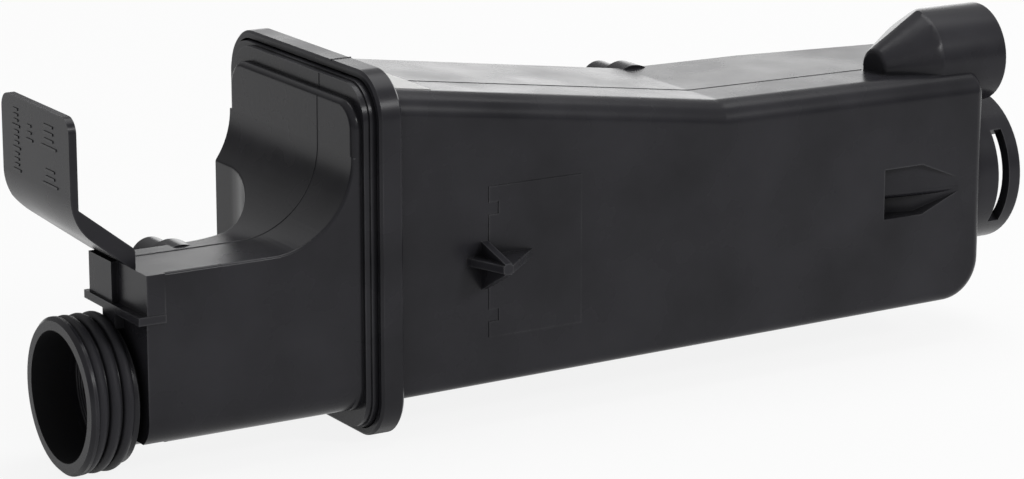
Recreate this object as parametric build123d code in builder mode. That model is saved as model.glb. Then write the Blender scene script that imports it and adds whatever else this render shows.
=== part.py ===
from build123d import *
import math
import os

# All sizes are in millimetres. The origin is the centre of the filler mouth: +X runs along
# the tank, +Z is up, and the flat front of both shells faces -Y.

# Filler neck
NECK_BORE_R = 20.7
NECK_RIM_R = 25.0
NECK_RIM_LENGTH = 3.4
NECK_EDGE = 1.2
NECK_ROOT_R = 23.2
NECK_WAIST_X = 16.5
NECK_WAIST_R = 19.4
SEAT_DEPTH = 15.0
TUBE_BORE_R = 15.4

# Both shells
WALL = 3.0
FRONT_Y = -25.5

# Filler head: snout, vertical sweep and side flare
SNOUT_X = 18.5
SNOUT_WIDTH = 32.0
SNOUT_TOP_Z = 42.0
SNOUT_EDGE_R = 1.0
RELIEF_X = 27.0
RELIEF_HEIGHT = 1.4
HEAD_X = 90.0
HEAD_LOW_Z = -14.3
HEAD_LOW_EDGE_R = 10.0
HEAD_TOP_Z = 87.0
HEAD_FAR_Y = 58.5
HEAD_CORNER_R = 9.0
HEAD_EDGE_R = 2.0
SWEEP_R = 28.0
FLARE_X = 84.3
FLARE_R = 41.5
FLARE_EDGE_R = 2.0

# Weld flange: the body's tray and the head's stepped lip that sits in it
FLANGE_X = 97.2
FLANGE_WIDTH_X = 8.1
TRAY_FLOOR = 4.0
FLANGE_NEAR_Y = -30.5
FLANGE_FAR_Y = 72.0
FLANGE_LOW_Z = -23.5
FLANGE_HIGH_Z = 95.3
FLANGE_CORNER_R = 15.0
RIM_T = 2.4
RIM_GROOVE = 0.5
RIM_EDGE = 0.8
OUTER_LIP_X = 95.2
OUTER_LIP_FAR_Y = 67.5
INNER_LIP_X = 93.2
INNER_LIP_FAR_Y = 61.6
LIP_STEP = 0.6

# Tank body
BODY_END_X = 338.6
BODY_TOP_Z = 89.4
BODY_LOW_Z = -11.9
BODY_FAR_Y = 60.0
DIP_X = 231.0
DIP_Z = 71.3
DIP_R = 16.0
END_TOP_Z = 70.2
END_LOW_Z = -9.6
END_FAR_Y = 33.6
END_CORNER_R = 14.5
TOP_EDGE_R = 8.0
BODY_EDGE_R = 4.0
RIDGE_Y = 40.2
RIDGE_DIP_Y = 40.2
RIDGE_END_Y = 40.2
FACET_DEG = 60.0
SHOULDER_X = 119.0
SHOULDER_DEG = 50.0

# Outlet pipe with its hood
PIPE_Y = -3.7
PIPE_Z = 72.6
PIPE_R = 17.15
PIPE_OVERHANG = 11.9
PIPE_LENGTH = 26.5
OUTLET_BORE_R = 14.6
OUTLET_BORE_LENGTH = 11.5
PASSAGE_R = 13.8
PASSAGE_LENGTH = 22.5
HOOD_LENGTH = 20.0
HOOD_TOE_Y = -6.5
HOOD_TOE_Z = 72.0
HOOD_TOE_R = 6.2
HOOD_TOE_EDGE_R = 2.0
HOOD_CUT_RISE = 0.60
HOOD_CUT_FALL = 0.57
HOOD_EDGE_R = 2.5

# Bayonet collar of the level sensor
COLLAR_Y = 6.5
COLLAR_Z = 29.8
COLLAR_R = 26.7
COLLAR_BORE_R = 22.8
COLLAR_LENGTH = 20.4
WINDOW_X = 11.0
WINDOW_WIDTH = 4.6
WINDOW_DEG = 76.0
SOCKET_BORE_R = 13.0
SOCKET_DEPTH = 26.0
SOCKET_WALL = 2.5

# Locating pin on the front
PIN_X = 137.5
PIN_Z = 31.0
PIN_REACH = 15.0
PIN_RIB = 2.6
PIN_ABOVE = 6.0
PIN_BELOW = 9.9
PIN_LEFT = 6.5
PIN_FOOT = 18.0
PIN_TIP = 3.6

# Raised pad behind the locating pin
PAD_X = 139.0
PAD_WIDTH = 34.9
PAD_LOW_Z = 4.9
PAD_HIGH_Z = 54.7
PAD_T = 0.3
PAD_NOTCH = 3.6
PAD_NOTCH_HEIGHT = 4.0
PAD_NOTCH_INSET = 7.2

# Pencil-shaped pocket on the front
POCKET_X = 296.0
POCKET_SHOULDER_X = 312.0
POCKET_TIP_X = 327.5
POCKET_LOW_Z = 23.3
POCKET_HIGH_Z = 40.7
POCKET_TIP_HEIGHT = 4.5
POCKET_DEPTH = 4.5
POCKET_SLOT_HEIGHT = 5.5
POCKET_SLOT_DEPTH = 11.0
POCKET_ROLL_R = 3.0
POCKET_BACKING = 2.5

# Grooved studs on the far side
STUD_R = 9.5
STUD_NECK_R = 5.0
STUD_HEAD_R = 7.0
STUD_GROOVE = 3.0
STUD_HEAD_LENGTH = 12.5
STUD_EDGE = 1.2
STUD_ROOT = 9.0
HEAD_STUD_X = 43.5
HEAD_STUD_Y = 10.0
HEAD_STUD_Z = 33.0
BODY_STUD_X = 235.0
BODY_STUD_Y = 47.0
BODY_STUD_Z = 63.0

# Level flag and its sloping arm
FLAG_X = -1.0
FLAG_T = 2.6
FLAG_NEAR_Y = -15.6
FLAG_WIDTH = 50.0
FLAG_TOP_Z = 90.6
FLAG_KNEE_Z = 57.3
FLAG_CORNER_R = 5.0
ARM_T = 5.5
ARM_FOOT = 1.4
ARM_FOOT_FAR_Y = 13.0
ARM_BEND_R = 18.0
ARM_END_R = 2.5

# Ledge and raised panels on the end of the snout
LEDGE_Z = 26.6
LEDGE_T = 2.6
LEDGE_REACH = 3.0
LEDGE_WRAP_X = 24.8
LEDGE_PROUD = 0.8
LEDGE_OVERHANG = 6.7
PANEL_NEAR_Y = -5.0
PANEL_REACH = 2.0
PATCH_PROUD = 0.5
POST_NEAR_Y = -9.0
POST_WIDTH = 8.5

# Level rod, its guide and the float
ROD_R = 3.0
ROD_TIP_X = 17.0
ROD_TIP_EDGE = 2.0
ROD_CLEARANCE = 0.3
GUIDE_X = 44.0
GUIDE_LENGTH = 10.0
GUIDE_HUB_R = 6.3
GUIDE_RIB = 2.4
FLOAT_X = 128.0
FLOAT_LENGTH = 42.0
FLOAT_WIDTH = 30.0
FLOAT_LOW_Z = -6.0
FLOAT_HIGH_Z = 24.0
FLOAT_CORNER_R = 4.0
FLOAT_EDGE = 1.5
FLOAT_SOCKET = 30.0
FLOAT_FIT = 0.05

# Blank label on the top of the body
LABEL_X = 108.0
LABEL_LENGTH = 15.0
LABEL_NEAR_Y = -17.2
LABEL_WIDTH = 38.0
LABEL_T = 0.2

# Places that follow from the sizes above
WELD_X = FLANGE_X + FLANGE_WIDTH_X - TRAY_FLOOR
FLANGE_END_X = FLANGE_X + FLANGE_WIDTH_X
SNOUT_FAR_Y = FRONT_Y + SNOUT_WIDTH
PIPE_END_X = BODY_END_X + PIPE_OVERHANG
HOOD_X = PIPE_END_X - PIPE_LENGTH
HOOD_TOE_X = HOOD_X - HOOD_LENGTH
PASSAGE_X = PIPE_END_X - PASSAGE_LENGTH
TOP_SLOPE = (DIP_Z - BODY_TOP_Z) / (DIP_X - WELD_X)


def rounded_plate(near_y, far_y, low_z, high_z, radius, x_start, x_end):
    """A rounded rectangle in the Y-Z plane, drawn out along X."""
    with BuildPart() as plate:
        with BuildSketch(Plane.YZ.offset(x_start)):
            with Locations(((near_y + far_y) / 2, (low_z + high_z) / 2)):
                RectangleRounded(far_y - near_y, high_z - low_z, radius)
        extrude(amount=x_end - x_start)
    return plate.part


def flange_plate(inset, far_y, x_start, x_end):
    """The flange outline, drawn in by inset on three sides and to far_y on the fourth."""
    return rounded_plate(
        FLANGE_NEAR_Y + inset,
        far_y,
        FLANGE_LOW_Z + inset,
        FLANGE_HIGH_Z - inset,
        FLANGE_CORNER_R - inset,
        x_start,
        x_end,
    )


def snout_block(inset):
    """Snout, sweep and flare: a side profile crossed with a plan profile."""
    sweep_centre = (HEAD_X - SWEEP_R, SNOUT_TOP_Z + SWEEP_R)
    flare_centre = (FLARE_X - FLARE_R, SNOUT_FAR_Y + FLARE_R)
    end_x = SNOUT_X + inset
    near_y = FRONT_Y + inset
    far_y = HEAD_FAR_Y - inset
    low_z = HEAD_LOW_Z + inset
    with BuildPart() as block:
        with BuildSketch(Plane.XZ.offset(-near_y)):
            with BuildLine():
                end = Line((end_x, low_z), (end_x, SNOUT_TOP_Z - inset))
                arc = CenterArc(sweep_centre, SWEEP_R + inset, -90, 90)
                Line(end @ 1, arc @ 0)
                Polyline(arc @ 1, (WELD_X, sweep_centre[1]), (WELD_X, low_z), end @ 0)
            make_face()
        extrude(amount=-(far_y - near_y))
        bottom = block.edges().filter_by(Axis.X).group_by(Axis.Z)[0].sort_by(Axis.Y)[0]
        fillet(bottom, HEAD_LOW_EDGE_R - inset)
        with BuildSketch(Plane.XY.offset(low_z)):
            with BuildLine():
                side = Line((end_x, near_y), (end_x, SNOUT_FAR_Y - inset))
                arc = CenterArc(flare_centre, FLARE_R + inset, -90, 90)
                Line(side @ 1, arc @ 0)
                Polyline(arc @ 1, (FLARE_X + inset, far_y), (WELD_X, far_y), (WELD_X, near_y), side @ 0)
            make_face()
        extrude(amount=HEAD_TOP_Z - low_z, mode=Mode.INTERSECT)
    return block.part


def body_block(inset):
    """The long body, open at the weld: a side profile with a tapered far wall."""
    end_x = BODY_END_X - inset
    with BuildPart() as block:
        with BuildSketch(Plane.XZ.offset(-FRONT_Y - inset)) as side:
            with BuildLine():
                Polyline(
                    (WELD_X, BODY_LOW_Z + inset),
                    (end_x, END_LOW_Z + inset),
                    (end_x, END_TOP_Z - inset),
                    (DIP_X, DIP_Z - inset),
                    (WELD_X, BODY_TOP_Z - inset),
                    close=True,
                )
            make_face()
            fillet(side.vertices().group_by(Axis.X)[-1].sort_by(Axis.Y)[0], END_CORNER_R - inset)
            fillet(side.vertices().sort_by_distance((DIP_X, DIP_Z - inset))[0], DIP_R)
        extrude(amount=-(BODY_FAR_Y - FRONT_Y))
        rim = block.faces().sort_by(Axis.Y)[0].edges()
        fillet(rim.sort_by_distance((DIP_X, FRONT_Y, DIP_Z))[0], TOP_EDGE_R - inset)
        rim = block.faces().sort_by(Axis.Y)[0].edges()
        fillet(rim.sort_by_distance((DIP_X, FRONT_Y, BODY_LOW_Z))[0], BODY_EDGE_R - inset)
        far_wall = Plane(
            origin=(WELD_X, BODY_FAR_Y - inset, 0),
            x_dir=(BODY_END_X - WELD_X, END_FAR_Y - BODY_FAR_Y, 0),
            z_dir=(BODY_FAR_Y - END_FAR_Y, BODY_END_X - WELD_X, 0),
        )
        split(bisect_by=far_wall, keep=Keep.BOTTOM)
    return block.part


def facet_plane(start, end, inset):
    """The far facet below one straight stretch of the ridge, moved inwards by inset."""
    along = Vector(*end) - Vector(*start)
    down = Vector(0, math.cos(math.radians(FACET_DEG)), -math.sin(math.radians(FACET_DEG)))
    normal = along.cross(down).normalized()
    return Plane(origin=Vector(*start) - normal * inset, z_dir=normal)


def facet_cut(block, inset):
    """What the far facet takes off the block, from the shoulder behind the flange to the end."""
    ridge_start = (WELD_X, RIDGE_Y, BODY_TOP_Z)
    ridge_dip = (DIP_X, RIDGE_DIP_Y, DIP_Z)
    ridge_end = (BODY_END_X, RIDGE_END_Y, END_TOP_Z)
    lean = Vector(math.sin(math.radians(SHOULDER_DEG)), 0, math.cos(math.radians(SHOULDER_DEG)))
    shoulder = Plane(origin=Vector(SHOULDER_X - inset, 0, BODY_TOP_Z), z_dir=lean)
    with BuildPart() as cut:
        add(block)
        split(bisect_by=facet_plane(ridge_start, ridge_dip, inset), keep=Keep.TOP)
        split(bisect_by=facet_plane(ridge_dip, ridge_end, inset), keep=Keep.TOP)
        split(bisect_by=shoulder, keep=Keep.TOP)
    return cut.part


def stud(x, y, z):
    """A round stud along +Y: a boss, a groove and a head."""
    with BuildPart() as post:
        with BuildSketch(Plane.XY.offset(z)):
            with BuildLine():
                Polyline(
                    (x, y - STUD_ROOT),
                    (x + STUD_R, y - STUD_ROOT),
                    (x + STUD_R, y),
                    (x + STUD_NECK_R, y),
                    (x + STUD_NECK_R, y + STUD_GROOVE),
                    (x + STUD_HEAD_R, y + STUD_GROOVE),
                    (x + STUD_HEAD_R, y + STUD_GROOVE + STUD_HEAD_LENGTH),
                    (x, y + STUD_GROOVE + STUD_HEAD_LENGTH),
                    close=True,
                )
            make_face()
        revolve(axis=Axis((x, 0, z), (0, 1, 0)))
        rounds = post.edges().filter_by(GeomType.CIRCLE).group_by(Axis.Y)
        chamfer(rounds[-1], STUD_EDGE)
    return post.part


def box_between(low, high):
    """A plain block between two corners."""
    with BuildPart() as block:
        with Locations(tuple((a + b) / 2 for a, b in zip(low, high))):
            Box(*[b - a for a, b in zip(low, high)])
    return block.part


# Blocks on the end of the snout: ledge, its wrap round the front corner, raised panel, corner patch, post
END_BLOCKS = (
    (
        (SNOUT_X - LEDGE_REACH, FRONT_Y - LEDGE_PROUD, LEDGE_Z),
        (SNOUT_X + WALL / 2, SNOUT_FAR_Y + LEDGE_OVERHANG, LEDGE_Z + LEDGE_T),
    ),
    (
        (SNOUT_X, FRONT_Y - LEDGE_PROUD, LEDGE_Z),
        (LEDGE_WRAP_X, FRONT_Y + WALL / 2, LEDGE_Z + LEDGE_T),
    ),
    (
        (SNOUT_X - PANEL_REACH, PANEL_NEAR_Y, LEDGE_Z + LEDGE_T / 2),
        (SNOUT_X + WALL / 2, SNOUT_FAR_Y + LEDGE_OVERHANG - PANEL_REACH, SNOUT_TOP_Z),
    ),
    (
        (SNOUT_X, FRONT_Y - PATCH_PROUD, LEDGE_Z + LEDGE_T / 2),
        (LEDGE_WRAP_X, FRONT_Y + WALL / 2, SNOUT_TOP_Z),
    ),
    (
        (SNOUT_X - LEDGE_REACH, POST_NEAR_Y, NECK_ROOT_R - WALL / 2),
        (SNOUT_X + WALL / 2, POST_NEAR_Y + POST_WIDTH, LEDGE_Z + LEDGE_T / 2),
    ),
)

end_blocks = [box_between(low, high) for low, high in END_BLOCKS]
snout_outer = snout_block(0)
front_rim = snout_outer.edges().filter_by_position(Axis.Y, FRONT_Y, FRONT_Y)
snout_outer = fillet(front_rim.filter_by_position(Axis.Z, SNOUT_TOP_Z, HEAD_TOP_Z), SNOUT_EDGE_R)
far_rim = snout_outer.edges().filter_by_position(Axis.Y, SNOUT_FAR_Y, HEAD_FAR_Y)
far_rim = far_rim.filter_by_position(Axis.Z, SNOUT_TOP_Z, SNOUT_TOP_Z + SWEEP_R / 2)
snout_outer = fillet(far_rim, FLARE_EDGE_R)
snout_cavity = snout_block(WALL)
snout_relief = box_between(
    (SNOUT_X, FRONT_Y, HEAD_LOW_Z),
    (RELIEF_X, SNOUT_FAR_Y, HEAD_LOW_Z + RELIEF_HEIGHT),
)
head_base = rounded_plate(FRONT_Y, HEAD_FAR_Y, HEAD_LOW_Z, HEAD_TOP_Z, HEAD_CORNER_R, HEAD_X, WELD_X)
head_base = fillet(head_base.faces().sort_by(Axis.X)[0].edges(), HEAD_EDGE_R)
head_cavity = rounded_plate(
    FRONT_Y + WALL,
    HEAD_FAR_Y - WALL,
    HEAD_LOW_Z + WALL,
    HEAD_TOP_Z - WALL,
    HEAD_CORNER_R - WALL,
    HEAD_X + WALL,
    WELD_X,
)
outer_lip = flange_plate(RIM_T + RIM_GROOVE, OUTER_LIP_FAR_Y, OUTER_LIP_X, WELD_X)
inner_lip = flange_plate(RIM_T + RIM_GROOVE + LIP_STEP, INNER_LIP_FAR_Y, INNER_LIP_X, WELD_X)
flange_outer = flange_plate(0, FLANGE_FAR_Y, FLANGE_X, FLANGE_END_X)
flange_outer = chamfer(flange_outer.edges().filter_by(Axis.X, reverse=True), RIM_EDGE)
flange_tray = flange_plate(RIM_T, FLANGE_FAR_Y - RIM_T, FLANGE_X, WELD_X)
body_outer = body_block(0)
body_cavity = body_block(WALL)
body_facet = facet_cut(body_outer, 0)
cavity_open = body_cavity - facet_cut(body_cavity, WALL)
head_stud = stud(HEAD_STUD_X, HEAD_STUD_Y, HEAD_STUD_Z)
body_stud = stud(BODY_STUD_X, BODY_STUD_Y, BODY_STUD_Z)

# Filler neck: rim, threaded wall and the seat of the cap's seal
with BuildPart() as neck:
    with BuildSketch(Plane.XY) as section:
        with BuildLine():
            Polyline(
                (0, NECK_BORE_R),
                (0, NECK_RIM_R),
                (NECK_RIM_LENGTH, NECK_RIM_R),
                (NECK_RIM_LENGTH, NECK_ROOT_R),
                (NECK_WAIST_X, NECK_ROOT_R),
                (NECK_WAIST_X, NECK_WAIST_R),
                (SNOUT_X, NECK_WAIST_R),
                (SNOUT_X, TUBE_BORE_R),
                (SEAT_DEPTH, TUBE_BORE_R),
                (SEAT_DEPTH, NECK_BORE_R),
                close=True,
            )
        make_face()
        chamfer(section.vertices().group_by(Axis.Y)[-1], NECK_EDGE)
    revolve(axis=Axis.X)

# Filler tube along the foot of the snout
with BuildPart() as tube:
    with BuildSketch(Plane.YZ.offset(SNOUT_X)):
        Circle(TUBE_BORE_R + WALL)
    extrude(amount=OUTER_LIP_X - SNOUT_X)
with BuildPart() as tube_bore:
    with BuildSketch(Plane.YZ.offset(SNOUT_X)):
        Circle(TUBE_BORE_R)
    extrude(amount=HEAD_X - SNOUT_X)

# Level flag: an upright plate that bends into the sloping arm
arm_slope = (FLAG_KNEE_Z - SNOUT_TOP_Z) / (SNOUT_X - FLAG_X)
arm_height = ARM_T * math.sqrt(1 + arm_slope**2)
flag_back_x = FLAG_X + FLAG_T
flag_back_z = FLAG_KNEE_Z + arm_height - arm_slope * FLAG_T
arm_end_x = SNOUT_X + ARM_FOOT
arm_end_z = SNOUT_TOP_Z + arm_height - arm_slope * ARM_FOOT
with BuildPart() as flag:
    with BuildSketch(Plane.XZ.offset(-FLAG_NEAR_Y)) as profile:
        with BuildLine():
            Polyline(
                (FLAG_X, FLAG_TOP_Z),
                (FLAG_X, FLAG_KNEE_Z),
                (SNOUT_X, SNOUT_TOP_Z),
                (arm_end_x, SNOUT_TOP_Z),
                (arm_end_x, arm_end_z),
                (flag_back_x, flag_back_z),
                (flag_back_x, FLAG_TOP_Z),
                close=True,
            )
        make_face()
        fillet(profile.vertices().sort_by_distance((FLAG_X, FLAG_KNEE_Z))[0], ARM_BEND_R)
        fillet(profile.vertices().sort_by_distance((arm_end_x, arm_end_z))[0], ARM_END_R)
    extrude(amount=-FLAG_WIDTH)
    fillet(flag.edges().filter_by(Axis.X).group_by(Axis.Z)[-1], FLAG_CORNER_R)
    with BuildSketch(Plane.XY.offset(SNOUT_TOP_Z)):
        with BuildLine():
            Polyline(
                (flag_back_x, FLAG_NEAR_Y + FLAG_WIDTH),
                (arm_end_x, ARM_FOOT_FAR_Y),
                (arm_end_x, FLAG_NEAR_Y + FLAG_WIDTH),
                close=True,
            )
        make_face()
    extrude(amount=flag_back_z - SNOUT_TOP_Z, mode=Mode.SUBTRACT)

# Guide for the level rod: a hub on a cross of ribs inside the snout
rib_top_z = SNOUT_TOP_Z - WALL / 2
rib_low_z = -TUBE_BORE_R - WALL / 2
rib_near_y = FRONT_Y + WALL / 2
rib_far_y = TUBE_BORE_R + WALL / 2
with BuildPart() as guide:
    with BuildSketch(Plane.YZ.offset(GUIDE_X)):
        Circle(GUIDE_HUB_R)
        with Locations((0, (rib_top_z + rib_low_z) / 2)):
            Rectangle(GUIDE_RIB, rib_top_z - rib_low_z)
        with Locations(((rib_near_y + rib_far_y) / 2, 0)):
            Rectangle(rib_far_y - rib_near_y, GUIDE_RIB)
        Circle(ROD_R + ROD_CLEARANCE, mode=Mode.SUBTRACT)
    extrude(amount=GUIDE_LENGTH)

# Filler head, one moulding
with BuildPart() as filler_head:
    add(snout_outer)
    add(snout_relief, mode=Mode.SUBTRACT)
    add(head_base)
    add(outer_lip)
    add(inner_lip)
    add(tube.part)
    add(head_stud)
    add(snout_cavity, mode=Mode.SUBTRACT)
    add(head_cavity, mode=Mode.SUBTRACT)
    add(tube_bore.part, mode=Mode.SUBTRACT)
    add(guide.part)
    add(neck.part)
    add(flag.part)
    add(end_blocks)
filler_head.part.label = "filler_head"

# Outlet: a cone that rises from the top of the body, a facet on its far side, and the round outlet
with BuildPart() as outlet:
    with BuildSketch(Plane.YZ.offset(HOOD_TOE_X)):
        with Locations((HOOD_TOE_Y, HOOD_TOE_Z)):
            Circle(HOOD_TOE_R)
    with BuildSketch(Plane.YZ.offset(HOOD_X)):
        with Locations((PIPE_Y, PIPE_Z)):
            Circle(PIPE_R)
    loft()
    fillet(outlet.edges().group_by(Axis.X)[0], HOOD_TOE_EDGE_R)
    with BuildSketch(Plane.YZ.offset(HOOD_X)):
        with Locations((PIPE_Y, PIPE_Z)):
            Circle(PIPE_R)
    extrude(amount=PIPE_END_X - HOOD_X)
    hood_cut = Plane(origin=(HOOD_X, PIPE_Y, PIPE_Z + PIPE_R), z_dir=(-HOOD_CUT_RISE, HOOD_CUT_FALL, 1))
    split(bisect_by=hood_cut, keep=Keep.BOTTOM)
    fillet(outlet.faces().filter_by(hood_cut)[0].edges(), HOOD_EDGE_R)

# Collar with two bayonet windows, and the blind socket behind it
with BuildPart() as collar:
    with BuildSketch(Plane.YZ.offset(BODY_END_X - WALL)):
        with Locations((COLLAR_Y, COLLAR_Z)):
            Circle(COLLAR_R)
    extrude(amount=COLLAR_LENGTH + WALL)
    with BuildSketch(Plane.YZ.offset(BODY_END_X)):
        with Locations((COLLAR_Y, COLLAR_Z)):
            Circle(COLLAR_BORE_R)
    extrude(amount=COLLAR_LENGTH, mode=Mode.SUBTRACT)
    window_reach = COLLAR_R + WALL
    window_half = window_reach * math.tan(math.radians(WINDOW_DEG / 2))
    with BuildSketch(Plane.YZ.offset(BODY_END_X + WINDOW_X)):
        for side in (-1, 1):
            with BuildLine():
                Polyline(
                    (COLLAR_Y, COLLAR_Z),
                    (COLLAR_Y + side * window_reach, COLLAR_Z + window_half),
                    (COLLAR_Y + side * window_reach, COLLAR_Z - window_half),
                    close=True,
                )
            make_face()
    extrude(amount=WINDOW_WIDTH, mode=Mode.SUBTRACT)
    with BuildSketch(Plane.YZ.offset(BODY_END_X - SOCKET_DEPTH - SOCKET_WALL)):
        with Locations((COLLAR_Y, COLLAR_Z)):
            Circle(SOCKET_BORE_R + SOCKET_WALL)
    extrude(amount=SOCKET_DEPTH)
    with BuildSketch(Plane.YZ.offset(BODY_END_X - SOCKET_DEPTH)):
        with Locations((COLLAR_Y, COLLAR_Z)):
            Circle(SOCKET_BORE_R)
    extrude(amount=SOCKET_DEPTH, mode=Mode.SUBTRACT)

# Cross-shaped locating pin, tapered to its tip
with BuildPart() as pin:
    with BuildSketch(Plane.XY.offset(PIN_Z - PIN_RIB / 2)):
        with BuildLine():
            Polyline(
                (PIN_X - PIN_LEFT, FRONT_Y),
                (PIN_X - PIN_TIP / 2, FRONT_Y - PIN_REACH),
                (PIN_X + PIN_TIP / 2, FRONT_Y - PIN_REACH),
                (PIN_X + PIN_FOOT, FRONT_Y),
                close=True,
            )
        make_face()
    extrude(amount=PIN_RIB)
    with BuildSketch(Plane.YZ.offset(PIN_X - PIN_RIB / 2)):
        with BuildLine():
            Polyline(
                (FRONT_Y, PIN_Z - PIN_BELOW),
                (FRONT_Y - PIN_REACH, PIN_Z - PIN_TIP / 2),
                (FRONT_Y - PIN_REACH, PIN_Z + PIN_TIP / 2),
                (FRONT_Y, PIN_Z + PIN_ABOVE),
                close=True,
            )
        make_face()
    extrude(amount=PIN_RIB)

# Raised pad with a square notch near each end of its left edge
with BuildPart() as pad:
    with BuildSketch(Plane.XZ.offset(-FRONT_Y)):
        with Locations((PAD_X + PAD_WIDTH / 2, (PAD_LOW_Z + PAD_HIGH_Z) / 2)):
            Rectangle(PAD_WIDTH, PAD_HIGH_Z - PAD_LOW_Z)
        for notch_z in (PAD_LOW_Z + PAD_NOTCH_INSET, PAD_HIGH_Z - PAD_NOTCH_INSET):
            with Locations((PAD_X + PAD_NOTCH / 2, notch_z)):
                Rectangle(PAD_NOTCH, PAD_NOTCH_HEIGHT, mode=Mode.SUBTRACT)
    extrude(amount=PAD_T)

# Pencil-shaped pocket: both floors rise to the surface at the tip, the lower one from a deep slot
pocket_mid_z = (POCKET_LOW_Z + POCKET_HIGH_Z) / 2
slot_top_z = POCKET_LOW_Z + POCKET_SLOT_HEIGHT
with BuildPart() as pocket_floors:
    for low_z, high_z, depth in (
        (POCKET_LOW_Z, slot_top_z, POCKET_SLOT_DEPTH),
        (slot_top_z, POCKET_HIGH_Z, POCKET_DEPTH),
    ):
        with BuildSketch(Plane.XY.offset(low_z)):
            with BuildLine():
                Polyline(
                    (POCKET_X, FRONT_Y),
                    (POCKET_X, FRONT_Y + depth),
                    (POCKET_TIP_X, FRONT_Y),
                    close=True,
                )
            make_face()
        extrude(amount=high_z - low_z)
    roll = pocket_floors.edges().filter_by_position(Axis.Z, slot_top_z, slot_top_z).sort_by(Axis.Y)[0]
    fillet(roll, POCKET_ROLL_R)
with BuildPart() as pocket:
    with BuildSketch(Plane.XZ.offset(-FRONT_Y)):
        with BuildLine():
            Polyline(
                (POCKET_X, POCKET_LOW_Z),
                (POCKET_SHOULDER_X, POCKET_LOW_Z),
                (POCKET_TIP_X, pocket_mid_z - POCKET_TIP_HEIGHT / 2),
                (POCKET_TIP_X, pocket_mid_z + POCKET_TIP_HEIGHT / 2),
                (POCKET_SHOULDER_X, POCKET_HIGH_Z),
                (POCKET_X, POCKET_HIGH_Z),
                close=True,
            )
        make_face()
    extrude(amount=-POCKET_SLOT_DEPTH)
    add(pocket_floors.part, mode=Mode.INTERSECT)
pocket_backing = [
    box_between(
        (POCKET_X - POCKET_BACKING, FRONT_Y + WALL / 2, POCKET_LOW_Z - POCKET_BACKING),
        (POCKET_TIP_X, FRONT_Y + POCKET_DEPTH + POCKET_BACKING, POCKET_HIGH_Z + POCKET_BACKING),
    ),
    box_between(
        (POCKET_X - POCKET_BACKING, FRONT_Y + WALL / 2, POCKET_LOW_Z - POCKET_BACKING),
        (POCKET_SHOULDER_X, FRONT_Y + POCKET_SLOT_DEPTH + POCKET_BACKING, slot_top_z + POCKET_BACKING),
    ),
]

# Tank body, one moulding
with BuildPart() as tank_body:
    add(body_outer)
    add(body_facet, mode=Mode.SUBTRACT)
    add(flange_outer)
    add(flange_tray, mode=Mode.SUBTRACT)
    add(body_stud)
    add(outlet.part)
    add(cavity_open, mode=Mode.SUBTRACT)
    with BuildSketch(Plane.YZ.offset(PASSAGE_X)):
        with Locations((PIPE_Y, PIPE_Z)):
            Circle(PASSAGE_R)
    extrude(amount=PIPE_END_X - PASSAGE_X, mode=Mode.SUBTRACT)
    with BuildSketch(Plane.YZ.offset(PIPE_END_X - OUTLET_BORE_LENGTH)):
        with Locations((PIPE_Y, PIPE_Z)):
            Circle(OUTLET_BORE_R)
    extrude(amount=OUTLET_BORE_LENGTH, mode=Mode.SUBTRACT)
    add(collar.part)
    with BuildSketch(Plane.YZ.offset(BODY_END_X - SOCKET_DEPTH)):
        with Locations((COLLAR_Y, COLLAR_Z)):
            Circle(SOCKET_BORE_R)
    extrude(amount=SOCKET_DEPTH, mode=Mode.SUBTRACT)
    add(pocket_backing)
    add(pocket.part, mode=Mode.SUBTRACT)
    add(pad.part)
    add(pin.part)
tank_body.part.label = "tank_body"

# Blank label on the sloping top
label_plane = Plane(
    origin=(LABEL_X, LABEL_NEAR_Y, BODY_TOP_Z + TOP_SLOPE * (LABEL_X - WELD_X)),
    x_dir=(1, 0, TOP_SLOPE),
    z_dir=(-TOP_SLOPE, 0, 1),
)
with BuildPart() as label:
    with BuildSketch(label_plane):
        Rectangle(LABEL_LENGTH, LABEL_WIDTH, align=(Align.MIN, Align.MIN))
    extrude(amount=LABEL_T)
label.part.label = "label"

# Level rod with a bevelled tip
with BuildPart() as level_rod:
    with BuildSketch(Plane.YZ.offset(ROD_TIP_X)):
        Circle(ROD_R)
    extrude(amount=FLOAT_X + FLOAT_SOCKET - ROD_TIP_X)
    chamfer(level_rod.faces().sort_by(Axis.X)[0].edges(), ROD_TIP_EDGE)
level_rod.part.label = "level_rod"

# Float with a socket for the rod
with BuildPart() as level_float:
    with BuildSketch(Plane.YZ.offset(FLOAT_X)):
        with Locations((0, (FLOAT_LOW_Z + FLOAT_HIGH_Z) / 2)):
            RectangleRounded(FLOAT_WIDTH, FLOAT_HIGH_Z - FLOAT_LOW_Z, FLOAT_CORNER_R)
    extrude(amount=FLOAT_LENGTH)
    chamfer(level_float.edges().filter_by(Axis.X, reverse=True), FLOAT_EDGE)
    with BuildSketch(Plane.YZ.offset(FLOAT_X)):
        Circle(ROD_R + FLOAT_FIT)
    extrude(amount=FLOAT_SOCKET, mode=Mode.SUBTRACT)
level_float.part.label = "level_float"

os.makedirs("parts", exist_ok=True)
for piece in (filler_head, tank_body, label, level_rod, level_float):
    export_step(piece.part, f"parts/{piece.part.label}.step")
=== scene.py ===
import math

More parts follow.
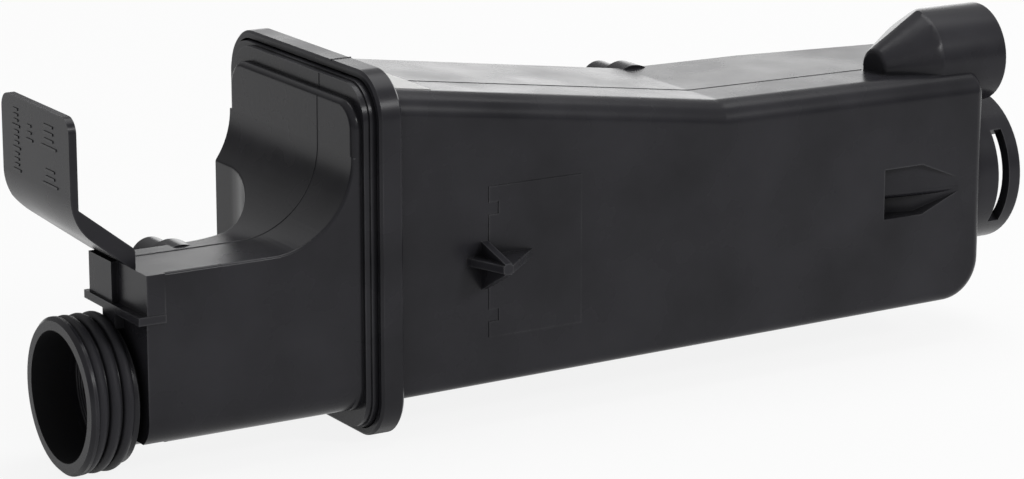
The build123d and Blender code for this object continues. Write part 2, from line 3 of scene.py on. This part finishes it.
import bpy
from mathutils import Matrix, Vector


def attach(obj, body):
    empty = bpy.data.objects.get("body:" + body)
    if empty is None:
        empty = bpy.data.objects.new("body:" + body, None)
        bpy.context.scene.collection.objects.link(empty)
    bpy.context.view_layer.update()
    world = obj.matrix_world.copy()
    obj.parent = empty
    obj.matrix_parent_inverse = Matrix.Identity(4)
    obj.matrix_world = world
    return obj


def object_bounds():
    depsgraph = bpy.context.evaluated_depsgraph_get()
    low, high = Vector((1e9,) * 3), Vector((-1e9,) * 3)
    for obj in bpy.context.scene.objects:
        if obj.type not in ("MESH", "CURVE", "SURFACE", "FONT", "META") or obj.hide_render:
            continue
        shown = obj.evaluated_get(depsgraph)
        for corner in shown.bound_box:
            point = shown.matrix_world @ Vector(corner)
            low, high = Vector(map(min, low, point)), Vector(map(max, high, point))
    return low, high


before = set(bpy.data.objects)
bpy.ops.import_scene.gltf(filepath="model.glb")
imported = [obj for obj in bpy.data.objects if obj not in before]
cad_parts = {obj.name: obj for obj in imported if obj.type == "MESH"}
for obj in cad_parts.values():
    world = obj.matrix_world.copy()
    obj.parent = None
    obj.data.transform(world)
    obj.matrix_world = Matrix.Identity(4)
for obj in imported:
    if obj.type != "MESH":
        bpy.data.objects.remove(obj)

cad_box = [list(corner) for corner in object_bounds()]

# Filler head.
# The near half of the tank: neck, snout, wall and weld lip in one piece of black glass-filled nylon. It is
# injection moulded in a tool whose halves meet down its middle. Handling rubs its satin edges paler, and the
# paler edges are partly a painted highlight along them.
MM = 0.001
SHELL_COLOUR = (0.0150, 0.0147, 0.0174, 1.0)
SHELL_CLOUD_COLOUR = (0.0258, 0.0253, 0.0296, 1.0)
# The paler colour of dust specks and of rubbed edges, where it is partly a painted highlight.
SHELL_WORN_GLINT_COLOUR = (0.095, 0.095, 0.100, 1.0)
SHELL_COLOURS = (SHELL_COLOUR, SHELL_CLOUD_COLOUR, SHELL_WORN_GLINT_COLOUR)
SHELL_ROUGHNESS = (0.22, 0.32)
SHELL_SPECULAR = 0.16
SHELL_GRAIN = 0.02 * MM
CLOUD_SCALE = 34.0
CLOUD_DETAIL = 4.0
CLOUD_SPAN = (0.3, 0.7)
GRAIN_SCALE = 1900.0
GRAIN_DETAIL = 2.0
GRAIN_STRENGTH = 0.35
# Edges are painted paler, partly for rubbing and partly as a painted highlight along them.
RUBBED_GLINT_REACH = 1.0 * MM
RUBBED_GLINT_SAMPLES = 4
RUBBED_GLINT_BEND = (0.97, 0.80)
RUBBED_GLINT_CLOUD_SPAN = (0.35, 0.65)
RUBBED_GLINT_SHARE = 0.8
DUST_SCALE = 420.0
DUST_SIZE = 0.09
DUST_SHARE = 0.2
# Corners and crevices are painted darker and rougher where little of the room reaches them, as painted
# shade.
CREVICE_REACH = 9.0 * MM
CREVICE_SAMPLES = 8
CREVICE_SPAN = (0.2, 0.85)
CREVICE_SHARE = 0.85
CREVICE_ROUGHNESS = 0.7
CREVICE_SHADE_COLOUR = (0.003, 0.003, 0.0035, 1.0)
# The neck's bore is painted darker and rougher, as painted shade inside it.
BORE_R = 20.9 * MM
BORE_DEPTH = 13.0 * MM
BORE_ROUGHNESS = 0.65
BORE_SHADE_COLOUR = (0.008, 0.008, 0.009, 1.0)
ACROSS_NECK = (0.0, 1.0, 1.0)
MERGE_GAP = 0.002 * MM
FLAT_ANGLE = math.radians(0.6)
EDGE_RADIUS = 0.45 * MM
EDGE_SEGMENTS = 2
EDGE_ANGLE = math.radians(28)


class NodeTree:
    """Adds nodes to a tree and links them in one call: inputs are values or the outputs of other nodes."""

    def __init__(self, tree):
        self.tree = tree

    def add(self, kind, inputs=None, **settings):
        node = self.tree.nodes.new(kind)
        for name, value in settings.items():
            setattr(node, name, value)
        for key, value in (inputs or {}).items():
            socket = node.inputs[key]
            if isinstance(value, bpy.types.NodeSocket):
                self.tree.links.new(value, socket)
            else:
                socket.default_value = value
        return node

    def math(self, operation, first, second):
        return self.add("ShaderNodeMath", {0: first, 1: second}, operation=operation).outputs[0]

    def spread(self, value, span, result=(0.0, 1.0)):
        limits = {"From Min": span[0], "From Max": span[1], "To Min": result[0], "To Max": result[1]}
        return self.add("ShaderNodeMapRange", {"Value": value, **limits}).outputs[0]

    def blend(self, share, first, second):
        colours = {"Factor": share, "A": first, "B": second}
        return self.add("ShaderNodeMix", colours, data_type="RGBA").outputs["Result"]

    def noise(self, place, scale, detail):
        inputs = {"Vector": place, "Scale": scale, "Detail": detail}
        return self.add("ShaderNodeTexNoise", inputs).outputs["Fac"]


def new_material(name):
    """An empty material; returns it with the adder for its nodes."""
    material = bpy.data.materials.new(name)
    material.use_nodes = True
    material.node_tree.nodes.clear()
    return material, NodeTree(material.node_tree)


def moulded_plastic(name, colours, roughness, specular, grain_height, bore_shade_colour=None):
    """Satin plastic: cloudy, rubbed paler at edges with a painted highlight there, dusty, grainy, with
    painted shade darkening corners and the bore.
    """
    plain, cloudy, worn_and_glint = colours
    material, tree = new_material(name)
    place = tree.add("ShaderNodeTexCoord").outputs["Object"]
    cloud = tree.noise(place, CLOUD_SCALE, CLOUD_DETAIL)
    grain = tree.noise(place, GRAIN_SCALE, GRAIN_DETAIL)
    specks = tree.add("ShaderNodeTexVoronoi", {"Vector": place, "Scale": DUST_SCALE}).outputs["Distance"]
    # Painted highlight and wear: edges are painted paler, partly for rubbing and partly for the glint along
    # them.
    rounded = tree.add("ShaderNodeBevel", {"Radius": RUBBED_GLINT_REACH}, samples=RUBBED_GLINT_SAMPLES).outputs[0]
    true_normal = tree.add("ShaderNodeNewGeometry").outputs["True Normal"]
    bend = tree.add("ShaderNodeVectorMath", {0: rounded, 1: true_normal}, operation="DOT_PRODUCT")
    edge = tree.spread(bend.outputs["Value"], RUBBED_GLINT_BEND, (0.0, RUBBED_GLINT_SHARE))
    rubbed_and_glint = tree.math("MULTIPLY", edge, tree.spread(cloud, RUBBED_GLINT_CLOUD_SPAN))
    dust = tree.math("MULTIPLY", tree.spread(specks, (DUST_SIZE, 0.0), (0.0, DUST_SHARE)), cloud)
    base = tree.blend(tree.spread(cloud, CLOUD_SPAN), plain, cloudy)
    tone = tree.blend(tree.math("MAXIMUM", rubbed_and_glint, dust), base, worn_and_glint)
    gloss = tree.spread(cloud, CLOUD_SPAN, roughness)
    # Painted shade: corners and crevices are darkened by their occlusion.
    corner = tree.add("ShaderNodeAmbientOcclusion", {"Distance": CREVICE_REACH}, samples=CREVICE_SAMPLES)
    crevice_shade = tree.spread(corner.outputs["AO"], CREVICE_SPAN, (CREVICE_SHARE, 0.0))
    tone = tree.blend(crevice_shade, tone, CREVICE_SHADE_COLOUR)
    gloss = tree.math("MAXIMUM", gloss, tree.math("MULTIPLY", crevice_shade, CREVICE_ROUGHNESS))
    # Painted shade: the inside of the neck is darkened.
    if bore_shade_colour:
        depth = tree.add("ShaderNodeSeparateXYZ", {0: place}).outputs["X"]
        spoke = tree.add("ShaderNodeVectorMath", {0: place, 1: ACROSS_NECK}, operation="MULTIPLY")
        reach = tree.add("ShaderNodeVectorMath", {0: spoke.outputs[0]}, operation="LENGTH").outputs["Value"]
        in_neck = tree.math("LESS_THAN", depth, BORE_DEPTH)
        inside = tree.math("MULTIPLY", in_neck, tree.math("LESS_THAN", reach, BORE_R))
        tone = tree.blend(inside, tone, bore_shade_colour)
        gloss = tree.math("MAXIMUM", gloss, tree.math("MULTIPLY", inside, BORE_ROUGHNESS))
    bump = tree.add(
        "ShaderNodeBump", {"Height": grain, "Strength": GRAIN_STRENGTH, "Distance": grain_height}
    )
    surface = tree.add(
        "ShaderNodeBsdfPrincipled",
        {
            "Base Color": tone,
            "Roughness": gloss,
            "Specular IOR Level": specular,
            "Normal": bump.outputs[0],
        },
    )
    tree.add("ShaderNodeOutputMaterial", {"Surface": surface.outputs[0]})
    return material


def finish_node(name, material):
    """Gives a CAD node its material."""
    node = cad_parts[name]
    node.data.materials.clear()
    node.data.materials.append(material)
    return node


def round_edges(node):
    """Rounds the hard edges of a moulding by the radius that its tool has."""
    weld = node.modifiers.new("close_seams", "WELD")
    weld.merge_threshold = MERGE_GAP
    flat = node.modifiers.new("join_flats", "DECIMATE")
    flat.decimate_type = "DISSOLVE"
    flat.angle_limit = FLAT_ANGLE
    bevel = node.modifiers.new("tool_radius", "BEVEL")
    bevel.width = EDGE_RADIUS
    bevel.segments = EDGE_SEGMENTS
    bevel.limit_method = "ANGLE"
    bevel.angle_limit = EDGE_ANGLE
    flats = node.modifiers.new("true_flats", "WEIGHTED_NORMAL")
    flats.mode = "FACE_AREA"


shell_black = moulded_plastic(
    "shell_black", SHELL_COLOURS, SHELL_ROUGHNESS, SHELL_SPECULAR, SHELL_GRAIN, BORE_SHADE_COLOUR
)
round_edges(finish_node("filler_head", shell_black))

# Neck thread.
# Nearly three rounded turns of a coarse thread for the cap, moulded with the neck. They start at the rim and
# fade into the neck's foot. Glass fibres stand out of the crests, so they look grainier than the shell.
THREAD_GRAIN = 0.3 * MM
THREAD_ROUGHNESS = (0.40, 0.54)
THREAD_ROOT_R = 23.2 * MM
THREAD_PITCH = 4.45 * MM
THREAD_TURNS = 2.85
THREAD_START_X = 2.3 * MM
THREAD_START_TURN = math.radians(39)
THREAD_HALF_WIDTH = 1.95 * MM
THREAD_HEIGHT = 1.75 * MM
THREAD_RUN_OUT = 0.05
THREAD_TIP_SHARE = 0.02
STEPS_PER_TURN = 96
PROFILE_POINTS = 20
QUARTER_TURN = math.radians(90)


def geometry_tree(name, inputs):
    """A geometry node tree with named inputs; returns it, an adder for its nodes and its input sockets."""
    tree = bpy.data.node_groups.new(name, "GeometryNodeTree")
    for label, kind in inputs.items():
        tree.interface.new_socket(name=label, in_out="INPUT", socket_type=kind)
    tree.interface.new_socket(name="Geometry", in_out="OUTPUT", socket_type="NodeSocketGeometry")
    adder = NodeTree(tree)
    return tree, adder, adder.add("NodeGroupInput").outputs


def close_tree(adder, geometry, material):
    """Ends a tree: one real mesh in one material."""
    real = adder.add("GeometryNodeRealizeInstances", {"Geometry": geometry})
    painted = adder.add("GeometryNodeSetMaterial", {"Geometry": real.outputs[0], "Material": material})
    adder.add("NodeGroupOutput", {"Geometry": painted.outputs[0]})


def grow(name, tree, values, path=(), smooth=True):
    """Runs a geometry tree, along a path if it follows one, and keeps its result as a mesh on the tank."""
    seed_mesh = bpy.data.meshes.new(name + "_seed")
    seed_mesh.from_pydata(path, [(step, step + 1) for step in range(len(path) - 1)], [])
    seed = bpy.data.objects.new(name + "_seed", seed_mesh)
    bpy.context.scene.collection.objects.link(seed)
    modifier = seed.modifiers.new("grow", "NODES")
    modifier.node_group = tree
    for item in tree.interface.items_tree:
        if item.in_out == "INPUT" and item.socket_type != "NodeSocketGeometry":
            modifier[item.identifier] = values[item.name]
    seen = seed.evaluated_get(bpy.context.evaluated_depsgraph_get())
    mesh = bpy.data.meshes.new_from_object(seen)
    mesh.name = name
    mesh.polygons.foreach_set("use_smooth", [smooth] * len(mesh.polygons))
    seed.modifiers.remove(modifier)
    bpy.data.objects.remove(seed)
    piece = bpy.data.objects.new(name, mesh)
    bpy.context.scene.collection.objects.link(piece)
    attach(piece, "tank")


thread_black = moulded_plastic(
    "thread_black", SHELL_COLOURS, THREAD_ROUGHNESS, SHELL_SPECULAR, THREAD_GRAIN
)
ridge_tree, ridge, ridge_in = geometry_tree(
    "helical_ridge",
    {
        "Radius": "NodeSocketFloat",
        "Pitch": "NodeSocketFloat",
        "Turns": "NodeSocketFloat",
        "Start": "NodeSocketVector",
        "Start Turn": "NodeSocketFloat",
        "Half Width": "NodeSocketFloat",
        "Height": "NodeSocketFloat",
        "Run Out": "NodeSocketFloat",
    },
)
helix = ridge.add(
    "GeometryNodeCurveSpiral",
    {
        "Resolution": STEPS_PER_TURN,
        "Rotations": ridge_in["Turns"],
        "Start Radius": ridge_in["Radius"],
        "End Radius": ridge_in["Radius"],
        "Height": ridge.math("MULTIPLY", ridge_in["Pitch"], ridge_in["Turns"]),
    },
)
upright = ridge.add("GeometryNodeSetCurveNormal", {"Curve": helix.outputs[0]}, mode="Z_UP")
along = ridge.add("GeometryNodeSplineParameter").outputs["Factor"]
nearer_end = ridge.math("MINIMUM", along, ridge.math("SUBTRACT", 1.0, along))
swell = ridge.add(
    "ShaderNodeMapRange",
    {"Value": nearer_end, "From Max": ridge_in["Run Out"], "To Min": THREAD_TIP_SHARE},
    interpolation_type="SMOOTHSTEP",
)
tapered = ridge.add(
    "GeometryNodeSetCurveRadius", {"Curve": upright.outputs[0], "Radius": swell.outputs[0]}
)
circle = ridge.add("GeometryNodeCurvePrimitiveCircle", {"Resolution": PROFILE_POINTS, "Radius": 1.0})
section = ridge.add(
    "ShaderNodeCombineXYZ", {"X": ridge_in["Height"], "Y": ridge_in["Half Width"], "Z": 1.0}
)
crest = ridge.add("GeometryNodeTransform", {"Geometry": circle.outputs[0], "Scale": section.outputs[0]})
swept = ridge.add(
    "GeometryNodeCurveToMesh",
    {
        "Curve": tapered.outputs[0],
        "Profile Curve": crest.outputs[0],
        "Fill Caps": True,
        "Scale": swell.outputs[0],
    },
)
laid = ridge.add(
    "GeometryNodeTransform", {"Geometry": swept.outputs[0], "Rotation": (0.0, QUARTER_TURN, 0.0)}
)
turn = ridge.add("ShaderNodeCombineXYZ", {"X": ridge_in["Start Turn"]})
placed = ridge.add(
    "GeometryNodeTransform",
    {"Geometry": laid.outputs[0], "Translation": ridge_in["Start"], "Rotation": turn.outputs[0]},
)
close_tree(ridge, placed.outputs[0], thread_black)
grow(
    "neck_thread",
    ridge_tree,
    {
        "Radius": THREAD_ROOT_R,
        "Pitch": THREAD_PITCH,
        "Turns": THREAD_TURNS,
        "Start": (THREAD_START_X, 0.0, 0.0),
        "Start Turn": THREAD_START_TURN,
        "Half Width": THREAD_HALF_WIDTH,
        "Height": THREAD_HEIGHT,
        "Run Out": THREAD_RUN_OUT,
    },
)

# Seat rings.
# The cap's bung seals on a ledge inside the neck. Fine rings of the same nylon are moulded round the ledge,
# to bite into the seal.
SEAT_X = 15.0 * MM
SEAT_RING_R = 19.4 * MM
SEAT_RING_STEP = -1.9 * MM
SEAT_RING_COUNT = 3
SEAT_RING_HEIGHT = 0.5 * MM
RING_STEPS = 96
RING_PROFILE_POINTS = 10

seat_tree, seat, seat_in = geometry_tree(
    "seat_rings",
    {
        "Count": "NodeSocketInt",
        "First Radius": "NodeSocketFloat",
        "Step": "NodeSocketFloat",
        "Height": "NodeSocketFloat",
        "Place": "NodeSocketVector",
    },
)
ring_points = seat.add(
    "GeometryNodeMeshLine",
    {"Count": seat_in["Count"], "Start Location": seat_in["Place"], "Offset": (0.0, 0.0, 0.0)},
)
ring_index = seat.add("GeometryNodeInputIndex").outputs[0]
ring_radius = seat.math("ADD", seat_in["First Radius"], seat.math("MULTIPLY", ring_index, seat_in["Step"]))
ring_line = seat.add("GeometryNodeCurvePrimitiveCircle", {"Resolution": RING_STEPS, "Radius": 1.0})
ring_lines = seat.add(
    "GeometryNodeInstanceOnPoints",
    {
        "Points": ring_points.outputs[0],
        "Instance": ring_line.outputs[0],
        "Rotation": (0.0, QUARTER_TURN, 0.0),
        "Scale": ring_radius,
    },
)
ring_curves = seat.add("GeometryNodeRealizeInstances", {"Geometry": ring_lines.outputs[0]})
ring_section = seat.add(
    "GeometryNodeCurvePrimitiveCircle", {"Resolution": RING_PROFILE_POINTS, "Radius": seat_in["Height"]}
)
rings = seat.add(
    "GeometryNodeCurveToMesh", {"Curve": ring_curves.outputs[0], "Profile Curve": ring_section.outputs[0]}
)
close_tree(seat, rings.outputs[0], shell_black)
grow(
    "seat_rings",
    seat_tree,
    {
        "Count": SEAT_RING_COUNT,
        "First Radius": SEAT_RING_R,
        "Step": SEAT_RING_STEP,
        "Height": SEAT_RING_HEIGHT,
        "Place": (SEAT_X, 0.0, 0.0),
    },
)

# Parting line of the filler head.
# The tool's halves leave a fine raised seam along the snout, up the sweep and over the wall. It goes on over
# the lip, and across the flange, where the seams of the two halves of the tank meet.
SEAM_R = 0.2 * MM
SEAM_PROFILE_POINTS = 8
SEAM_Y = -2.4 * MM
SEAM_START_X = 20.6 * MM
SNOUT_TOP_Z = 42.0 * MM
WALL_X = 90.0 * MM
WALL_TOP_Z = 85.6 * MM
SWEEP_R = 28.0 * MM
SWEEP_STEPS = 24
LIP_SEAM = [(93.2 * MM, 2.0 * MM, 86.6 * MM), (93.2 * MM, 2.0 * MM, 91.6 * MM)]
FLANGE_SEAM = [(97.6 * MM, 2.4 * MM, 95.3 * MM), (105.0 * MM, 2.4 * MM, 95.3 * MM)]

bead_tree, bead, bead_in = geometry_tree(
    "bead", {"Path": "NodeSocketGeometry", "Radius": "NodeSocketFloat"}
)
bead_line = bead.add("GeometryNodeMeshToCurve", {0: bead_in["Path"]})
bead_section = bead.add(
    "GeometryNodeCurvePrimitiveCircle", {"Resolution": SEAM_PROFILE_POINTS, "Radius": bead_in["Radius"]}
)
bead_mesh = bead.add(
    "GeometryNodeCurveToMesh",
    {"Curve": bead_line.outputs[0], "Profile Curve": bead_section.outputs[0], "Fill Caps": True},
)
close_tree(bead, bead_mesh.outputs[0], shell_black)

sweep_x = WALL_X - SWEEP_R
sweep_z = SNOUT_TOP_Z + SWEEP_R
head_line = [(SEAM_START_X, SEAM_Y, SNOUT_TOP_Z)]
for step in range(SWEEP_STEPS + 1):
    sweep_turn = QUARTER_TURN * step / SWEEP_STEPS
    out = SWEEP_R * math.sin(sweep_turn)
    down = SWEEP_R * math.cos(sweep_turn)
    head_line.append((sweep_x + out, SEAM_Y, sweep_z - down))
head_line.append((WALL_X, SEAM_Y, WALL_TOP_Z))
grow("head_seam", bead_tree, {"Radius": SEAM_R}, head_line)
grow("lip_seam", bead_tree, {"Radius": SEAM_R}, LIP_SEAM)
grow("flange_seam", bead_tree, {"Radius": SEAM_R}, FLANGE_SEAM)

# Level flag.
# The upright plate and its arm are moulded with the head, in the same nylon, and stand beside the neck.
# Plain ticks are raised on the plate's face to mark the level.
FLAG_FACE_X = -1.0 * MM
TICK_PROUD = 0.25 * MM
TICK_THICKNESS = 0.75 * MM
LONG_TICK_EVERY = 4
LONG_TICK_REMAINDER = 0.5
SHORT_TICK_SHARE = 0.6
# The y and z of a row's lowest tick, the number of ticks, their spacing and a long tick's length, in mm.
LEVEL_SCALES = {
    "level_scale": ((23.5, 67.4), 12, 1.75, 5.6),
    "upper_mark": ((-0.8, 79.2), 4, 2.2, 11.0),
    "upper_count": ((13.5, 78.8), 3, 2.2, 5.0),
    "lower_mark": ((-1.2, 67.5), 3, 2.2, 11.0),
}

tick_tree, tick, tick_in = geometry_tree(
    "level_ticks",
    {
        "Count": "NodeSocketInt",
        "Spacing": "NodeSocketFloat",
        "Length": "NodeSocketFloat",
        "Place": "NodeSocketVector",
    },
)
tick_step = tick.add("ShaderNodeCombineXYZ", {"Z": tick_in["Spacing"]})
tick_row = tick.add(
    "GeometryNodeMeshLine",
    {"Count": tick_in["Count"], "Start Location": tick_in["Place"], "Offset": tick_step.outputs[0]},
)
tick_index = tick.add("GeometryNodeInputIndex").outputs[0]
tick_remainder = tick.math("MODULO", tick_index, LONG_TICK_EVERY)
tick_is_long = tick.math("LESS_THAN", tick_remainder, LONG_TICK_REMAINDER)
tick_share = tick.spread(tick_is_long, (0.0, 1.0), (SHORT_TICK_SHARE, 1.0))
tick_length = tick.math("MULTIPLY", tick_in["Length"], tick_share)
tick_size = tick.add("ShaderNodeCombineXYZ", {"X": 2 * TICK_PROUD, "Y": tick_length, "Z": TICK_THICKNESS})
tick_block = tick.add("GeometryNodeMeshCube", {"Size": (1.0, 1.0, 1.0)})
ticks = tick.add(
    "GeometryNodeInstanceOnPoints",
    {"Points": tick_row.outputs[0], "Instance": tick_block.outputs[0], "Scale": tick_size.outputs[0]},
)
close_tree(tick, ticks.outputs[0], shell_black)
for scale_name, ((scale_y, scale_z), count, spacing, length) in LEVEL_SCALES.items():
    grow(
        scale_name,
        tick_tree,
        {
            "Count": count,
            "Spacing": spacing * MM,
            "Length": length * MM,
            "Place": (FLAG_FACE_X, scale_y * MM, scale_z * MM),
        },
        smooth=False,
    )

# Tank body.
# The long far half, in the same nylon. Its tray takes the head's lip, and the two are welded round the
# flange. Its own tool leaves a seam along the top, from the label's edge to the hood over the outlet.
BODY_SEAM_R = 0.14 * MM
BODY_SEAM_Y = -1.2 * MM
# Points of the seam: x and z in mm.
BODY_SEAM_START = (123.4, 86.32)
BODY_DIP = ((229.9, 71.46), (232.1, 71.29))
BODY_SEAM_END = (303.0, 70.56)

round_edges(finish_node("tank_body", shell_black))
body_line = [(x * MM, BODY_SEAM_Y, z * MM) for x, z in (BODY_SEAM_START, *BODY_DIP, BODY_SEAM_END)]
grow("body_seam", bead_tree, {"Radius": BODY_SEAM_R}, body_line)

# Label.
# A blank white film with a faint fibre in it and glue on its back. It is stuck flat on the sloping top of
# the body, just behind the weld flange.
FILM_COLOURS = ((0.54, 0.54, 0.53, 1.0), (0.61, 0.61, 0.60, 1.0))
FILM_ROUGHNESS = 0.5
FIBRE_SCALE = 900.0
FIBRE_DETAIL = 3.0

film_white, film = new_material("film_white")
film_place = film.add("ShaderNodeTexCoord").outputs["Object"]
fibre = film.noise(film_place, FIBRE_SCALE, FIBRE_DETAIL)
film_surface = film.add(
    "ShaderNodeBsdfPrincipled",
    {"Base Color": film.blend(fibre, *FILM_COLOURS), "Roughness": FILM_ROUGHNESS},
)
film.add("ShaderNodeOutputMaterial", {"Surface": film_surface.outputs[0]})
finish_node("label", film_white)

# Level rod and float.
# A red moulded rod stands in a socket of a pale sealed float and runs in a guide inside the snout. The two
# rise with the coolant, and the rod's tip shows in the filler neck.
ROD_COLOURS = ((0.50, 0.025, 0.018, 1.0), (0.60, 0.045, 0.03, 1.0), (0.68, 0.12, 0.09, 1.0))
ROD_ROUGHNESS = (0.30, 0.42)
FLOAT_COLOURS = ((0.74, 0.72, 0.65, 1.0), (0.80, 0.78, 0.72, 1.0), (0.84, 0.83, 0.79, 1.0))
FLOAT_ROUGHNESS = (0.40, 0.52)
GAUGE_SPECULAR = 0.5

rod_red = moulded_plastic("rod_red", ROD_COLOURS, ROD_ROUGHNESS, GAUGE_SPECULAR, SHELL_GRAIN)
finish_node("level_rod", rod_red)
float_pale = moulded_plastic("float_pale", FLOAT_COLOURS, FLOAT_ROUGHNESS, GAUGE_SPECULAR, SHELL_GRAIN)
finish_node("level_float", float_pale)

# Studio.
# A pale floor, painted paler round the tank as a pool of light and darker further out, in a dim room with a
# paler ceiling. One soft lamp hangs overhead, one stands low behind the tank, a weak one in front, and a
# small key at the front right.
FLOOR_Z = cad_box[0][2]
FLOOR_SIZE = 12.0
FLOOR_GLOW = (0.87, 0.35)
FLOOR_COLOURS = ((0.86, 0.86, 0.86, 1.0), (0.45, 0.45, 0.45, 1.0))
LIT_REACH = (0.8, 2.4)
MIDDLE = (0.18, 0.0, 0.03)
WHITE = (1.0, 1.0, 1.0, 1.0)
# Each lamp's place, its width and height in metres, and its power in watts.
LAMPS = {
    "overhead": ((0.7, 0.2, 1.6), (1.2, 1.0), 12.0),
    "behind": ((1.22, 1.21, 0.25), (1.2, 0.56), 4.1),
    "front_fill": ((0.4, -2.2, 0.9), (1.8, 1.2), 3.0),
    "key": ((0.85, -1.35, 0.97), (0.32, 0.32), 8.0),
}
ROOM_LIGHT = 0.42
WALL_GLOW = 0.18
CEILING_GLOW = 0.65
CEILING_RISE = (0.1, 0.5)

floor_mesh = bpy.data.meshes.new("floor")
half = FLOOR_SIZE / 2
corners = [(-half, -half, FLOOR_Z), (half, -half, FLOOR_Z), (half, half, FLOOR_Z), (-half, half, FLOOR_Z)]
floor_mesh.from_pydata(corners, [], [(0, 1, 2, 3)])
floor = bpy.data.objects.new("floor", floor_mesh)
bpy.context.scene.collection.objects.link(floor)


def seen_directly(tree):
    """1 for a ray from the camera, a reflection or a clear pane, and 0 for light that is scattered."""
    rays = tree.add("ShaderNodeLightPath").outputs
    seen = tree.math("MAXIMUM", rays["Is Camera Ray"], rays["Is Glossy Ray"])
    return tree.math("MAXIMUM", seen, rays["Is Transmission Ray"])


floor_white, paint = new_material("floor_white")
spot = paint.add("ShaderNodeTexCoord").outputs["Object"]
under_tank = (MIDDLE[0], MIDDLE[1], FLOOR_Z)
away = paint.add("ShaderNodeVectorMath", {0: spot, 1: under_tank}, operation="DISTANCE")
# Painted pool of light: the floor's colour and glow fade with distance from the tank.
unlit = paint.spread(away.outputs["Value"], LIT_REACH)
matt = paint.add("ShaderNodeBsdfDiffuse", {"Color": paint.blend(unlit, *FLOOR_COLOURS)})
glow = paint.add("ShaderNodeEmission", {"Color": WHITE, "Strength": 1.0})
lit_glow = paint.spread(unlit, (0.0, 1.0), FLOOR_GLOW)
lit_share = paint.math("MULTIPLY", seen_directly(paint), lit_glow)
floor_mix = paint.add("ShaderNodeMixShader", {0: lit_share, 1: matt.outputs[0], 2: glow.outputs[0]})
paint.add("ShaderNodeOutputMaterial", {"Surface": floor_mix.outputs[0]})
floor_mesh.materials.append(floor_white)

for lamp_name, (place, size, power) in LAMPS.items():
    lamp_data = bpy.data.lights.new(lamp_name, "AREA")
    lamp_data.shape = "RECTANGLE"
    lamp_data.size, lamp_data.size_y = size
    lamp_data.energy = power
    lamp = bpy.data.objects.new(lamp_name, lamp_data)
    lamp.location = place
    lamp.rotation_euler = (Vector(MIDDLE) - Vector(place)).to_track_quat("-Z", "Y").to_euler()
    lamp.visible_camera = False
    bpy.context.scene.collection.objects.link(lamp)

world = bpy.data.worlds.new("studio")
bpy.context.scene.world = world
world.use_nodes = True
world.node_tree.nodes.clear()
world.cycles.sampling_method = "NONE"
room = NodeTree(world.node_tree)
way = room.add("ShaderNodeSeparateXYZ", {0: room.add("ShaderNodeTexCoord").outputs["Generated"]})
shown_beyond_light = (WALL_GLOW - ROOM_LIGHT, CEILING_GLOW - ROOM_LIGHT)
room_shown = room.spread(way.outputs["Z"], CEILING_RISE, shown_beyond_light)
room_strength = room.math("ADD", room.math("MULTIPLY", seen_directly(room), room_shown), ROOM_LIGHT)
room_glow = room.add("ShaderNodeBackground", {"Color": WHITE, "Strength": room_strength})
room.add("ShaderNodeOutputWorld", {"Surface": room_glow.outputs[0]})

# Camera.
# A long lens in front of the neck and a little above the tank. Its turn is in degrees, and its focal length
# is in pixels of a picture of the width below.
CAMERA_PLACE = (-0.4367, -0.9943, 0.3277)
CAMERA_TURN = (75.55, 0.0, -31.1)
FOCAL_PIXELS = 3650.0
PICTURE_WIDTH = 1024.0

camera_data = bpy.data.cameras.new("camera")
camera_data.lens = FOCAL_PIXELS / PICTURE_WIDTH * camera_data.sensor_width
camera = bpy.data.objects.new("camera", camera_data)
camera.location = CAMERA_PLACE
camera.rotation_euler = [math.radians(angle) for angle in CAMERA_TURN]
bpy.context.scene.collection.objects.link(camera)
bpy.context.scene.camera = camera
bpy.context.scene.view_settings.view_transform = "Standard"
